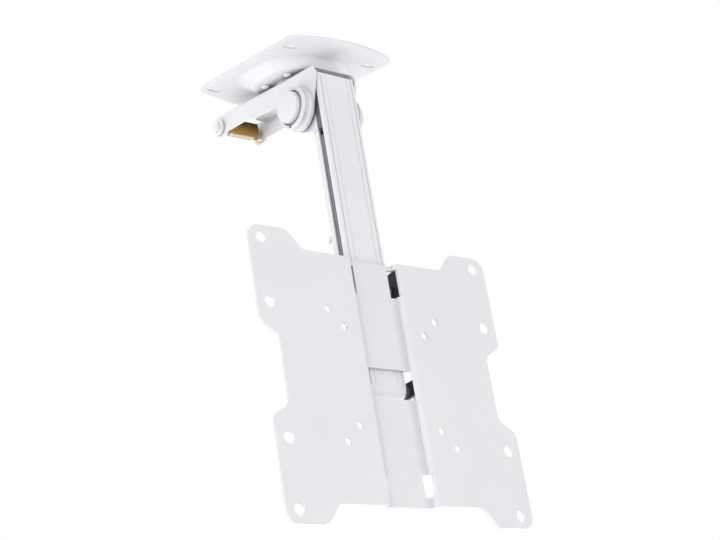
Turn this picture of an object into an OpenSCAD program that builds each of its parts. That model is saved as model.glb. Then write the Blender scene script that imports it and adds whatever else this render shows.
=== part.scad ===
// Flip-down ceiling mount for a small flat screen: ceiling plate, swivelling beam,
// folding arm, catch for the folded arm, and a tilting screen plate.
// Millimetres. z = 0 is the ceiling, x is the hinge direction, +y runs along the beam.
// The stored pose is the arm hanging down, leaning forward by arm_lean.

/* [Ceiling plate] */
// width of the ceiling plate
plate_w = 100; // [90:1:130]
// length of the ceiling plate, over the two bowed ends
plate_l = 158; // [140:1:200]
// sheet thickness of the ceiling plate
plate_t = 2; // [1.5:0.5:3]
// radius of the bowed ends
plate_bow_r = 110; // [90:5:200]
// corner radius of the ceiling plate
plate_corner_r = 10; // [4:1:12]
// distance from the plate's middle back to the middle of its four slots
slot_back = 6; // [0:0.5:10]
// slot spacing across the plate
slot_dx = 76; // [60:1:80]
// slot spacing along the plate
slot_dy = 110; // [90:1:120]
// slot length, end to end
slot_len = 12; // [8:1:16]
// slot width
slot_w = 6; // [5:0.5:7]
// width of the pressed dome at its root
dome_w = 81; // [76:1:84]
// length of the pressed dome at its root
dome_l = 96; // [88:1:98]
// width of the dome's flat bottom
flat_w = 62; // [58:1:66]
// length of the dome's flat bottom
flat_l = 65; // [60:1:70]
// middle of the dome's root, forward of the plate's middle
dome_fwd = -3; // [-6:0.5:0]
// depth of the pressed dome below the ceiling
dome_drop = 11; // [10:0.5:14]

/* [Swivel] */
// swivel axis, measured forward from the plate's middle
swivel_fwd = 4.5; // [3:0.5:7]
// radius of the swivel bolt
swivel_bolt_r = 5; // [4:0.5:6]
// radius of the swivel disc
swivel_disc_r = 18; // [16:0.5:20]
// thickness of the swivel disc
swivel_disc_t = 2.6; // [2.2:0.1:5]
// swivel each way
swivel_stop = 45; // [15:5:60]
// radius at which the stop pin sits
stop_at = 12.5; // [11:0.5:14]

/* [Beam] */
// outside width of the beam
beam_w = 41; // [41:1:46]
// sheet thickness of the beam
beam_t = 2; // [1.5:0.5:2]
// front end of the beam, forward of the plate's middle
beam_front = 57; // [56:0.5:60]
// far end of the beam, behind the plate's middle
beam_back = 87; // [86:0.5:95]
// far end of the beam's web, behind the plate's middle
web_back = 72; // [66:0.5:74]
// radius of the round notch in that end of the web
web_notch_r = 9.6; // [7:0.2:12]
// height of the beam's cheeks
beam_h = 19; // [17:0.5:20]

/* [Fold hinge] */
// hinge axis, forward of the plate's middle
hinge_fwd = 34.7; // [33:0.1:40]
// hinge axis below the ceiling
hinge_drop = 46; // [45:0.5:52]
// radius of the hinge bolt
hinge_bolt_r = 5; // [4:0.5:6]
// radius of the round hinge hubs
hub_r = 17.5; // [16:0.5:19]
// how far the hubs stand out of the beam
hub_out = 8.5; // [7.5:0.5:10]
// radius of the hub caps
cap_r = 12.8; // [12:0.1:14]
// how far the caps stand out of the hubs
cap_out = 5; // [2:0.5:6]
// radius of the knuckle on the arm, between the ears
knuckle_r = 17.3; // [15:0.1:18]
// forward lean of the hanging arm in the stored pose
arm_lean = 10.6; // [0:0.1:15]

/* [Arm] */
// hinge axis to the tilt axis, along the arm
arm_len = 239.2; // [200:0.1:320]
// hinge axis behind the front of the arm
arm_set = 25.3; // [20:0.1:27]
// width of the arm's front cover
front_w = 36; // [33:1:36]
// width of the arm's rear cover
rear_w = 32; // [30:1:34]
// width of the tube inside the arm
tube_w = 24; // [20:1:26]
// depth of the tube inside the arm
tube_d = 15.2; // [12:0.2:16]
// wall of the tube
tube_t = 2; // [1.5:0.5:2.5]
// wall of the covers
cover_t = 1.6; // [1.2:0.1:2]
// depth of the rear cover
rear_lip = 7.2; // [6:0.2:8]
// fine groove down each side of the front cover, in from the edge
groove_in = 3.2; // [2.5:0.1:5]
// width of that groove
groove_w = 0.8; // [0.4:0.1:1.2]
// second, finer groove, in from the edge
fine_in = 7.8; // [6:0.1:10]

/* [Catch] */
// catch pivot, behind the plate's middle
catch_back = 80; // [76:0.5:81]
// catch pivot below the ceiling
catch_drop = 26; // [25:0.2:28]
// width of the catch plate
catch_w = 30.4; // [28:0.2:34]
// sheet thickness of the catch plate
catch_t = 1.5; // [1:0.1:2]
// radius of the striker pin on the arm
striker_r = 1.75; // [1.25:0.25:2]
// striker to the right of the arm's middle
striker_x = 8.5; // [6:0.5:9]

/* [Screen plate] */
// overall width of the screen plate
vesa_w = 222; // [216:1:240]
// overall height of the screen plate
vesa_h = 218.8; // [216:0.2:240]
// sheet thickness of the screen plate
vesa_t = 2; // [1.5:0.5:2.5]
// depth of the middle channel, front face to back face
channel_d = 7.8; // [6.5:0.1:9]
// width between the channel's side walls
channel_w = 40; // [36:1:46]
// outer radius of the bends between wings and channel
bend_r = 4; // [3:0.5:5]
// holes of the large pattern, radius
big_hole_r = 4.5; // [4:0.25:5]
// holes of the small patterns, radius
small_hole_r = 3; // [2.5:0.25:3.5]
// height of the middle window
window_h = 23; // [18:1:30]

/* [Tilt] */
// radius of the tilt bolts
tilt_bolt_r = 3; // [2.5:0.5:4]
// lock bolt above the tilt axis
lock_up = 80; // [70:1:90]
// tilt of the screen plate, top forward
tilt_max = 12; // [5:1:12]

/* [Fits] */
// running clearance round a moving shaft
run_gap = 0.06; // [0.03:0.01:0.1]
// clearance round a fixed fastener
fix_gap = 0.1; // [0.05:0.05:0.3]
// side clearance between faces that slide
side_gap = 0.05; // [0.05:0.05:0.2]

/* [Hidden] */
$fn = 72;
mid_y = -slot_back;
swivel_y = mid_y - swivel_fwd;
hinge_y = mid_y - hinge_fwd;
hinge_z = -hinge_drop;
catch_y = mid_y + catch_back;
catch_z = -catch_drop;
dome_y = mid_y - dome_fwd;
flat_y = swivel_y;
back_t = 3;
back_top = -dome_drop + plate_t + 0.05 + back_t;
rivet_x = flat_w / 2 - 10.5;
rivet_y = flat_l / 2 - 16.8;
disc_z = -dome_drop - swivel_disc_t;
stop_h = swivel_disc_t - 0.8;
beam_top = disc_z - side_gap * 2;
beam_bottom = beam_top - beam_h;
cheek_x = beam_w / 2;
cheek_in = cheek_x - beam_t;
ear_r = hub_r + 0.2;
web_end = mid_y + web_back;
// arm frame: y from the screen plate's front face, z from the middle of the screen plate
arm_y = channel_d + 0.2;
pivot_z = -2;
pivot_y = arm_y + 9;
head_y = arm_y + arm_set;
head_z = pivot_z + arm_len;
nose_r = pivot_y - arm_y;
tube_y = arm_y + cover_t + 0.4;
tube_back = tube_y + tube_d;
lock_z = pivot_z + lock_up;
head_w = 2 * cheek_in - 4.8;
top_z = head_z + 21.3;
ear_x = channel_w / 2 + bend_r + 0.2;
ear_t = 2.5;
spacer_t = ear_x - side_gap * 2 - 17.6;
// striker pin in the arm frame, so that it lies just ahead of the catch when folded
pin_run = catch_back + hinge_fwd - 14.6;
pin_rise = hinge_drop - catch_drop + 1.5;
pin_z = head_z - pin_run;
pin_y = head_y + pin_rise;
tube_lo = pivot_z + 16.2;
tube_hi = head_z - 24;
plug_l = 24;
pin_low = tube_lo + plug_l / 2;
pin_high = tube_hi - plug_l / 2;
hub_x = cheek_x + hub_out;
cap_x = hub_x + cap_out;

// Rules for outlines
function unit(v) = v / norm(v);
function turn(a) = a > 180 ? a - 360 : (a < -180 ? a + 360 : a);
function bend_pts(a, b, c, r, n) =
  let(u = unit(a - b), v = unit(c - b), half = acos(u * v) / 2)
  let(p = b + u * r / tan(half), q = b + v * r / tan(half))
  let(m = b + unit(u + v) * r / sin(half))
  let(a0 = atan2(p[1] - m[1], p[0] - m[0]))
  let(a1 = atan2(q[1] - m[1], q[0] - m[0]))
  [for (i = [0:n]) m + r * [cos(a0 + turn(a1 - a0) * i / n), sin(a0 + turn(a1 - a0) * i / n)]];
function soft(pts, rs, n = 8) =
  let(k = len(pts))
  [for (i = [0:k - 1])
    each (rs[i] > 0 ? bend_pts(pts[(i + k - 1) % k], pts[i], pts[(i + 1) % k], rs[i], n) : [pts[i]])];
function bow(x, l, r) = l / 2 - r + sqrt(r * r - x * x);

module block(lo, hi) {
  translate(lo) cube(hi - lo);
}
module along_x(x0, x1) {
  translate([x0, 0, 0]) rotate([90, 0, 90]) linear_extrude(height = x1 - x0) children();
}
module rod_x(x0, x1, r) {
  translate([x0, 0, 0]) rotate([0, 90, 0]) cylinder(r = r, h = x1 - x0);
}
module turned_x(pts) {
  rotate([0, 90, 0]) rotate_extrude() polygon(pts);
}
module slot2d(len, w) {
  square([len - w, w], center = true);
  translate([(w - len) / 2, 0]) circle(r = w / 2);
  translate([(len - w) / 2, 0]) circle(r = w / 2);
}
module soft_rect(w, l, r) {
  polygon(soft([[-w / 2, -l / 2], [w / 2, -l / 2], [w / 2, l / 2], [-w / 2, l / 2]], [r, r, r, r]));
}
module arm_frame() {
  translate([0, hinge_y, hinge_z]) rotate([-arm_lean, 0, 0]) translate([0, -head_y, -head_z])
    children();
}
module both_sides() {
  children();
  mirror([1, 0, 0]) children();
}

// Ceiling plate and swivel
module plate_outline() {
  steps = 12;
  w = plate_w;
  front = [for (i = [0:steps]) let(x = w * (i / steps - 0.5)) [x, -bow(x, plate_l, plate_bow_r)]];
  back = [for (i = [0:steps]) let(x = w * (0.5 - i / steps)) [x, bow(x, plate_l, plate_bow_r)]];
  rad = [for (i = [0:steps]) (i == 0 || i == steps) ? plate_corner_r : 0];
  polygon(soft(concat(front, back), concat(rad, rad)));
}
module dome_shape(grow, z0, z1, z2) {
  w = dome_w + grow;
  l = dome_l + grow;
  fw = flat_w + grow;
  fl = flat_l + grow;
  hull() {
    translate([0, dome_y, z0]) linear_extrude(height = 0.05) soft_rect(w, l, 34 + grow / 2);
    translate([0, (dome_y + flat_y) / 2, z1]) linear_extrude(height = 0.05)
      soft_rect((w + fw) / 2 + 2, (l + fl) / 2 + 2, 29 + grow / 2);
    translate([0, flat_y, z2]) linear_extrude(height = 0.05) soft_rect(fw, fl, 22 + grow / 2);
  }
}
module rivet_places() {
  for (sx = [-1, 1])
    for (sy = [-1, 1])
      translate([rivet_x * sx, swivel_y + rivet_y * sy, 0]) children();
}
module ceiling_plate() {
  color([0.93, 0.93, 0.94]) difference() {
    union() {
      translate([0, mid_y, -plate_t]) linear_extrude(height = plate_t) plate_outline();
      dome_shape(0, -plate_t, -dome_drop + 3, -dome_drop);
    }
    dome_shape(-2 * plate_t, 0.1, -dome_drop + 3 + plate_t, -dome_drop + plate_t);
    for (sx = [-1, 1])
      for (sy = [-1, 1])
        translate([sx * slot_dx / 2, sy * slot_dy / 2, -plate_t - 1]) linear_extrude(height = plate_t + 2)
          slot2d(slot_len, slot_w);
    translate([0, swivel_y, -dome_drop - 1]) cylinder(r = swivel_bolt_r + run_gap, h = 4);
    rivet_places() translate([0, 0, -dome_drop - 1]) cylinder(r = 2.5 + fix_gap / 2, h = 4);
  }
}
module backing_plate() {
  color([0.72, 0.73, 0.75]) difference() {
    translate([0, swivel_y, back_top - back_t]) linear_extrude(height = back_t)
      soft_rect(2 * rivet_x + 11, 2 * rivet_y + 15, 9);
    translate([0, swivel_y, -dome_drop]) cylinder(r = swivel_bolt_r + run_gap, h = 8);
    rivet_places() translate([0, 0, -dome_drop]) cylinder(r = 2.5 + fix_gap / 2, h = 8);
  }
}
module backing_rivets() {
  top = back_top;
  color([0.93, 0.93, 0.94]) rivet_places() rotate_extrude()
    polygon([[0, -dome_drop - 2.2], [1.9, -dome_drop - 2.1], [3.2, -dome_drop - 1.5],
      [4, -dome_drop - 0.4], [4, -dome_drop], [2.5, -dome_drop], [2.5, top],
      [3.6, top], [3.4, top + 0.9], [0, top + 1.2]]);
}
module swivel_disc() {
  gap = 0.4;
  deep = stop_h + 0.3;
  color([0.88, 0.88, 0.89]) translate([0, swivel_y, disc_z]) difference() {
    cylinder(r = swivel_disc_r, h = swivel_disc_t);
    translate([0, 0, -1]) cylinder(r = swivel_bolt_r + run_gap, h = swivel_disc_t + 2);
    translate([0, 0, -1]) rotate([0, 0, -90 - swivel_stop]) rotate_extrude(angle = 2 * swivel_stop)
      translate([stop_at - 2 - gap, 0]) square([4 + 2 * gap, deep + 1]);
    for (s = [-1, 1])
      rotate([0, 0, -90 + s * swivel_stop]) translate([stop_at, 0, -1]) cylinder(r = 2 + gap, h = deep + 1);
  }
}

// Beam
module beam_outline() {
  f = mid_y - beam_front;
  b = mid_y + beam_back;
  low = beam_bottom;
  end_low = catch_z - 8.2;
  c = [hinge_y, hinge_z];
  q = [hinge_y + 26.5, low];
  a = atan2(q[1] - c[1], q[0] - c[0]) - acos(ear_r / norm(q - c));
  translate(c) circle(r = ear_r);
  polygon(soft(
    [[f + 5.5, beam_top], [f, beam_top - 7], c - [ear_r, 0], c, c + ear_r * [cos(a), sin(a)], q,
      [catch_y - 48, low], [catch_y - 38, low + 2.4], [catch_y - 10, low + 1.6],
      [catch_y - 7, end_low], [b, end_low], [b, beam_top]],
    [2, 5, 0, 0, 0, 8, 6, 6, 2, 2, 7, 1.5]));
}
module beam_section() {
  difference() {
    polygon(soft([[-cheek_x, -90], [cheek_x, -90], [cheek_x, beam_top], [-cheek_x, beam_top]],
      [0, 0, 3, 3]));
    polygon(soft([[-cheek_in, -91], [cheek_in, -91], [cheek_in, beam_top - beam_t],
      [-cheek_in, beam_top - beam_t]], [0, 0, 1, 1]));
  }
}
module beam() {
  color([0.93, 0.93, 0.94]) {
    difference() {
      intersection() {
        translate([0, mid_y + beam_back + 5, 0]) rotate([90, 0, 0])
          linear_extrude(height = beam_back + beam_front + 10) beam_section();
        along_x(-cheek_x - 1, cheek_x + 1) beam_outline();
      }
      translate([0, hinge_y, hinge_z]) rod_x(-cheek_x - 1, cheek_x + 1, hinge_bolt_r + fix_gap);
      translate([0, catch_y, catch_z]) rod_x(-cheek_x - 1, cheek_x + 1, 3 + run_gap);
      translate([0, swivel_y, beam_top - 5]) cylinder(r = swivel_bolt_r + fix_gap, h = 10);
      block([-cheek_in, web_end, beam_top - beam_t - 1.1], [cheek_in, mid_y + beam_back + 1, beam_top + 1]);
      translate([0, web_end, beam_top - 5]) cylinder(r = web_notch_r, h = 10);
    }
    translate([0, swivel_y - stop_at, beam_top - 1]) cylinder(r = 2, h = stop_h + 1);
  }
}
module swivel_bolt() {
  under = beam_top - beam_t;
  top = back_top + 4.4;
  color([0.72, 0.73, 0.75]) translate([0, swivel_y, 0]) {
    translate([0, 0, under - 6]) cylinder(r = 9, h = 6, $fn = 6);
    translate([0, 0, under - 1]) cylinder(r = swivel_bolt_r, h = top - under + 1);
  }
}
module swivel_washer() {
  z = back_top + side_gap;
  color([0.72, 0.73, 0.75]) translate([0, swivel_y, z]) difference() {
    cylinder(r = 9.5, h = 1);
    translate([0, 0, -1]) cylinder(r = swivel_bolt_r + fix_gap, h = 3);
  }
}
module swivel_nut() {
  z = back_top + 1 + side_gap;
  color([0.72, 0.73, 0.75]) translate([0, swivel_y, z]) difference() {
    cylinder(r = 9, h = 3.3, $fn = 6);
    translate([0, 0, -1]) cylinder(r = swivel_bolt_r + 0.02, h = 6);
  }
}

// Fold hinge
module hub() {
  x0 = cheek_x;
  x1 = hub_x;
  bore = cap_r + 0.35;
  waist = [for (i = [0:12]) let(a = 15 + i * 12.5)
    [hub_r - 1.9 * sin(a) * sin(a), x0 + 1.2 + (hub_out - 3) * i / 12]];
  lip = [for (i = [0:6]) [hub_r - 1.6 + 1.1 * cos(i * 15), x1 - 1.1 + 1.1 * sin(i * 15)]];
  translate([0, hinge_y, hinge_z]) turned_x(concat(
    [[hinge_bolt_r + fix_gap, x0], [hub_r, x0]], waist, lip,
    [[bore + 0.9, x1], [bore + 0.9, x1 - 1], [bore + 0.3, x1 - 1], [bore + 0.3, x1 - 2],
      [bore, x1 - 2], [bore, x1 - 3], [10.6, x1 - 3], [10.6, x0 + 2.5],
      [hinge_bolt_r + fix_gap, x0 + 2.5]]));
}
module cap() {
  x0 = hub_x - 3;
  x1 = cap_x;
  e = 0.8;
  edge = [for (i = [0:6]) [cap_r - e + e * cos(i * 15), x1 - 0.4 - e + e * sin(i * 15)]];
  translate([0, hinge_y, hinge_z]) turned_x(concat(
    [[11.6, x0], [cap_r, x0]], edge, [[0, x1], [0, x1 - 1.8], [11.6, x1 - 2.2]]));
}
module hinge_hub_left() {
  color([0.93, 0.93, 0.94]) mirror([1, 0, 0]) hub();
}
module hinge_hub_right() {
  color([0.93, 0.93, 0.94]) hub();
}
module hinge_cap_left() {
  color([0.94, 0.94, 0.95]) mirror([1, 0, 0]) cap();
}
module hinge_cap_right() {
  color([0.94, 0.94, 0.95]) cap();
}
module hinge_bolt() {
  x0 = cheek_x + 2.5;
  color([0.72, 0.73, 0.75]) translate([0, hinge_y, hinge_z]) {
    rod_x(-x0 - 1, x0 + 6.2, hinge_bolt_r);
    translate([-x0 - 6, 0, 0]) rotate([0, 90, 0]) cylinder(r = 9.2, h = 6, $fn = 6);
  }
}
module hinge_nut() {
  x0 = cheek_x + 2.5;
  color([0.72, 0.73, 0.75]) translate([x0, hinge_y, hinge_z]) rotate([0, 90, 0]) difference() {
    cylinder(r = 9.2, h = 5.8, $fn = 6);
    translate([0, 0, -1]) cylinder(r = hinge_bolt_r + 0.02, h = 8);
  }
}
module hinge_washers() {
  color([0.2, 0.2, 0.21]) both_sides() translate([head_w / 2 + side_gap, hinge_y, hinge_z])
    rotate([0, 90, 0]) difference() {
      cylinder(r = 15, h = cheek_in - head_w / 2 - side_gap);
      translate([0, 0, -1]) cylinder(r = hinge_bolt_r + fix_gap, h = 6);
    }
}

// Catch at the far end of the beam
module catch_section() {
  t = catch_t;
  front = -3.5 - t;
  low = -8.2;
  polygon(soft([[-3.5, 8.1], [front, 8.1], [front, low + t], [front - 5.2, low + t],
    [front - 5.2, low], [-3.5, low]], [0, 0, 1, 0.6, 0.6, 2.5]));
}
module catch_ear() {
  circle(r = 5);
  polygon([[0, 5], [-4.4, 5.6], [-4.4, -5.6], [0, -5]]);
}
module catch_plate() {
  x1 = catch_w / 2;
  color([0.78, 0.62, 0.30]) translate([0, catch_y, catch_z]) difference() {
    union() {
      along_x(-x1, x1) catch_section();
      along_x(-x1, -x1 + catch_t) catch_ear();
      along_x(x1 - catch_t, x1) catch_ear();
    }
    rod_x(-x1 - 1, x1 + 1, 3 + fix_gap / 2);
    block([striker_x - 2.2, -20, -12], [striker_x + 2.2, -3.5 - catch_t - 0.6, -4]);
  }
}
module catch_stub(tail) {
  x1 = catch_w / 2;
  translate([0, catch_y, catch_z]) turned_x(concat(
    [[0, x1 - catch_t - 1], [2.9, x1 - catch_t - 0.9], [3.3, x1 - catch_t], [3, x1 - catch_t],
      [3, x1], [4.2, x1], [4.2, cheek_in - 0.3], [3, cheek_in - 0.3], [3, cheek_x + 0.3]], tail));
}
module catch_knob() {
  x2 = cheek_x;
  color([0.93, 0.93, 0.94]) mirror([1, 0, 0])
    catch_stub([[6.2, x2 + 0.3], [6.2, x2 + 2], [5.4, x2 + 2.8], [3.5, x2 + 2.8],
      [3.5, x2 + 5.8], [2.9, x2 + 6.4], [0, x2 + 6.4]]);
}
module catch_pin() {
  x2 = cheek_x;
  color([0.72, 0.73, 0.75]) catch_stub([[4.6, x2 + 0.3], [4.6, x2 + 1.7], [3.8, x2 + 2.5], [0, x2 + 2.8]]);
}

// Arm
module arm_tube() {
  w = tube_w / 2;
  color([0.16, 0.16, 0.17]) arm_frame() difference() {
    block([-w, tube_y, tube_lo], [w, tube_back, tube_hi]);
    block([-w + tube_t, tube_y + tube_t, tube_lo - 1], [w - tube_t, tube_back - tube_t, tube_hi + 1]);
    for (z = [pin_low, pin_high])
      translate([0, pivot_y, z]) rod_x(-w - 1, w + 1, 2.5 + fix_gap / 2);
    translate([0, pivot_y, lock_z]) rod_x(-w - 1, w + 1, tilt_bolt_r + fix_gap);
  }
}
module spigot(z0, z1) {
  w = tube_w / 2 - tube_t - 0.1;
  block([-w, tube_y + tube_t + 0.1, z0], [w, tube_back - tube_t - 0.1, z1]);
}
module head_outline() {
  r = knuckle_r;
  y0 = tube_y + 2.2;
  p = [tube_back, top_z - 2];
  q = [tube_back, tube_hi + 0.2];
  c = [head_y, head_z];
  a = atan2(p[1] - c[1], p[0] - c[0]) - acos(r / norm(p - c));
  b = atan2(q[1] - c[1], q[0] - c[0]) + acos(r / norm(q - c));
  translate(c) circle(r = r);
  polygon([[y0, q[1]], q, c + r * [cos(b), sin(b)], c, c + r * [cos(a), sin(a)], p, [y0, p[1]]]);
}
module arm_head() {
  w = head_w / 2;
  color([0.93, 0.93, 0.94]) arm_frame() difference() {
    union() {
      along_x(-w, w) head_outline();
      block([-front_w / 2 + cover_t + 0.2, tube_y, tube_hi + 0.2],
        [front_w / 2 - cover_t - 0.2, tube_y + 2.4, top_z - 2]);
      spigot(tube_hi - plug_l, tube_hi + 1);
    }
    translate([0, head_y, head_z]) rod_x(-w - 1, w + 1, hinge_bolt_r + run_gap);
    translate([0, pivot_y, pin_high]) rod_x(-w - 1, w + 1, 2.5 + fix_gap / 2);
  }
}
module arm_foot() {
  w = 17.5;
  v = front_w / 2 - cover_t - 0.2;
  r = nose_r - cover_t - 0.2;
  color([0.3, 0.3, 0.31]) arm_frame() difference() {
    union() {
      translate([0, pivot_y, pivot_z]) {
        rod_x(-v, v, r);
        rod_x(-w, w, 5);
      }
      block([-v, tube_y, pivot_z], [v, tube_y + 2.4, tube_lo - 0.1]);
      block([-w, tube_y + 2.2, pivot_z], [w, pivot_y + r, tube_lo - 0.1]);
      spigot(tube_lo - 1, tube_lo + plug_l);
    }
    translate([0, pivot_y, pivot_z]) rod_x(-w - 1, w + 1, tilt_bolt_r + fix_gap);
    translate([0, pivot_y, pin_low]) rod_x(-w - 1, w + 1, 2.5 + fix_gap / 2);
  }
}
module arm_pins() {
  w = tube_w / 2;
  color([0.72, 0.73, 0.75]) arm_frame() for (z = [pin_low, pin_high])
    translate([0, pivot_y, z]) rod_x(-w, w, 2.5);
}
module front_section() {
  w = front_w / 2;
  t = cover_t;
  y = arm_y;
  difference() {
    polygon(soft([[-w, y], [w, y], [w, y + 3.8], [-w, y + 3.8]], [1.2, 1.2, 0, 0], 4));
    translate([-w + t, y + t]) square([front_w - 2 * t, 5]);
    for (s = [-1, 1]) {
      translate([s * (w - groove_in) - groove_w / 2, y - 1]) square([groove_w, 1 + groove_w / 2]);
      translate([s * (w - fine_in) - groove_w / 4, y - 1]) square([groove_w / 2, 1 + groove_w / 4]);
    }
  }
}
module front_cover() {
  w = front_w / 2;
  t = cover_t;
  y = arm_y;
  g = tube_w / 2 + 0.1;
  color([0.93, 0.93, 0.94]) arm_frame() {
    translate([0, 0, pivot_z]) linear_extrude(height = top_z - pivot_z) front_section();
    block([-w + 0.8, y, top_z - t], [w - 0.8, y + 3.8, top_z]);
    for (s = [0, 1])
      mirror([s, 0, 0]) block([g, y + t - 0.1, pivot_z + 24], [g + 1.2, y + 4.2, head_z - 32]);
    intersection() {
      translate([0, pivot_y, pivot_z]) rotate([0, 90, 0]) difference() {
        cylinder(r = nose_r, h = front_w - 1.6, center = true);
        cylinder(r = nose_r - t, h = front_w + 2, center = true);
      }
      block([-w, y - 1, pivot_z - nose_r - 1], [w, pivot_y, pivot_z]);
    }
  }
}
module rear_section() {
  w = rear_w / 2;
  t = cover_t;
  y = tube_back + 0.2 + t;
  difference() {
    polygon(soft([[-w, y - rear_lip], [w, y - rear_lip], [w, y], [-w, y]], [0, 0, 3, 3]));
    polygon(soft([[-w + t, y - rear_lip - 1], [w - t, y - rear_lip - 1], [w - t, y - t], [-w + t, y - t]],
      [0, 0, 1.4, 1.4]));
  }
}
module rear_cover() {
  y = tube_back + 0.2;
  g = tube_w / 2 + 0.1;
  lo = lock_z + 14;
  hi = tube_hi;
  color([0.93, 0.93, 0.94]) arm_frame() difference() {
    union() {
      translate([0, 0, lo]) linear_extrude(height = hi - lo) rear_section();
      for (s = [0, 1])
        mirror([s, 0, 0]) block([g, y - 6, lo + 4], [g + 1.2, y + 0.1, hi - 4]);
    }
    block([striker_x - 5, y - 1, pin_z - 11], [tube_w / 2 + 0.05, y + 5, pin_z + 11]);
  }
}
module striker() {
  r = striker_r + 1.75;
  c = [pin_y, pin_z];
  color([0.93, 0.93, 0.94]) arm_frame() difference() {
    union() {
      block([striker_x - 4.5, tube_back, pin_z - 10], [tube_w / 2, tube_back + 2, pin_z + 10]);
      along_x(striker_x - 1.5, striker_x + 1.5) {
        translate(c) circle(r = r);
        polygon([[tube_back + 1, pin_z - 7], c + r * [cos(80), -sin(80)], c + r * [cos(80), sin(80)],
          [tube_back + 1, pin_z + 7]]);
      }
    }
    translate([0, pin_y, pin_z]) rod_x(striker_x - 3, striker_x + 3, striker_r + 0.02);
  }
}
module striker_pin() {
  color([0.93, 0.93, 0.94]) arm_frame() translate([0, pin_y, pin_z])
    rod_x(striker_x - 2.7, striker_x + 2.7, striker_r);
}

// Tilt joint
module tilt_places() {
  for (z = [pivot_z, lock_z])
    translate([0, pivot_y, z]) children();
}
module tilt_bolts() {
  x1 = ear_x + ear_t + 1.6 + 2 * side_gap;
  color([0.72, 0.73, 0.75]) arm_frame() tilt_places() {
    rod_x(-x1 - 1, x1 + 7, tilt_bolt_r);
    translate([-x1 - 4, 0, 0]) rotate([0, 90, 0]) cylinder(r = 5.77, h = 4, $fn = 6);
  }
}
module tilt_nuts() {
  x1 = ear_x + ear_t + 1.6 + 2 * side_gap;
  color([0.72, 0.73, 0.75]) arm_frame() tilt_places() translate([x1, 0, 0]) rotate([0, 90, 0])
    difference() {
      cylinder(r = 5.77, h = 5, $fn = 6);
      translate([0, 0, -1]) cylinder(r = tilt_bolt_r + 0.02, h = 8);
    }
}
module tilt_washers() {
  x0 = ear_x + ear_t + 2 * side_gap;
  color([0.72, 0.73, 0.75]) arm_frame() tilt_places() both_sides() translate([x0, 0, 0])
    rotate([0, 90, 0]) difference() {
      cylinder(r = 6, h = 1.6);
      translate([0, 0, -1]) cylinder(r = tilt_bolt_r + fix_gap, h = 4);
    }
}
module tilt_spacers() {
  color([0.2, 0.2, 0.21]) arm_frame() {
    both_sides() translate([17.6, pivot_y, pivot_z]) rotate([0, 90, 0]) difference() {
      cylinder(r = 5, h = spacer_t);
      translate([0, 0, -1]) cylinder(r = tilt_bolt_r + fix_gap, h = 20);
    }
    both_sides() translate([tube_w / 2 + 0.1, pivot_y, lock_z]) rotate([0, 90, 0]) difference() {
      cylinder(r = 4.6, h = 17.6 + spacer_t - tube_w / 2 - 0.1);
      translate([0, 0, -1]) cylinder(r = tilt_bolt_r + fix_gap, h = 20);
    }
  }
}

// Screen plate
module vesa_outline() {
  w = vesa_w / 2;
  h = vesa_h / 2;
  q = [[65.1, h - 14.9], [77.2, h], [w, h], [w, 34.5], [w - 15, 26]];
  rq = [8, 8, 10, 8, 8];
  m1 = [for (i = [4:-1:0]) [q[i][0], -q[i][1]]];
  m2 = [for (i = [0:4]) [-q[i][0], -q[i][1]]];
  m3 = [for (i = [4:-1:0]) [-q[i][0], q[i][1]]];
  r1 = [for (i = [4:-1:0]) rq[i]];
  polygon(soft(concat(q, m1, m2, m3), concat(rq, r1, rq, r1)));
}
module ring_corner(c, r0, r1, sx, sy) {
  translate(c) difference() {
    intersection() {
      circle(r = r1);
      translate([sx > 0 ? 0 : -r1, sy > 0 ? 0 : -r1]) square(r1);
    }
    circle(r = r0);
  }
}
module channel_section() {
  t = vesa_t;
  x = channel_w / 2;
  d = channel_d;
  for (s = [0, 1])
    mirror([s, 0]) {
      translate([x + bend_r, 0]) square([vesa_w / 2 - x, t]);
      ring_corner([x + bend_r, bend_r], bend_r - t, bend_r, -1, -1);
      translate([x, bend_r]) square([t, d - 3 - bend_r]);
      ring_corner([x - 1, d - 3], 3 - t, 3, 1, 1);
      translate([-0.1, d - t]) square([x - 0.9, t]);
    }
}
module screen_plate() {
  x = channel_w / 2;
  color([0.93, 0.93, 0.94]) arm_frame() difference() {
    intersection() {
      translate([0, 0, -vesa_h]) linear_extrude(height = 2 * vesa_h) channel_section();
      translate([0, channel_d + 5, 0]) rotate([90, 0, 0]) linear_extrude(height = channel_d + 10)
        vesa_outline();
    }
    for (sx = [-1, 1])
      for (sz = [-1, 1]) {
        for (p = [[100, 100], [100, 50]])
          translate([sx * p[0], 10, sz * p[1]]) rotate([90, 0, 0]) cylinder(r = big_hole_r, h = 20);
        for (p = [[50, 50], [37.5, 37.5]])
          translate([sx * p[0], 10, sz * p[1]]) rotate([90, 0, 0]) cylinder(r = small_hole_r, h = 20);
      }
    block([-x - 2.5, 3, -window_h / 2 - 1.6], [x + 2.5, 20, window_h / 2 - 1.6]);
    for (s = [-1, 1]) {
      block([s * (x - 0.9) - 3.1, -1, 68], [s * (x - 0.9) + 3.1, 20, 90.5]);
      block([s * (x - 0.9) - 3.1, -1, -87], [s * (x - 0.9) + 3.1, 20, -70]);
    }
  }
}
module bracket_ear() {
  r = 6;
  span = lock_up * sin(tilt_max);
  translate([pivot_y, pivot_z]) circle(r = r);
  translate([vesa_t + 0.1, pivot_z - r]) square([pivot_y - vesa_t, 2 * r]);
  polygon(soft([[vesa_t + 0.1, lock_z - 8], [pivot_y + span + 9, lock_z - 8],
    [pivot_y + span + 9, lock_z + 11], [vesa_t + 0.1, lock_z + 15]], [0, 9, 9, 0]));
}
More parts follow.
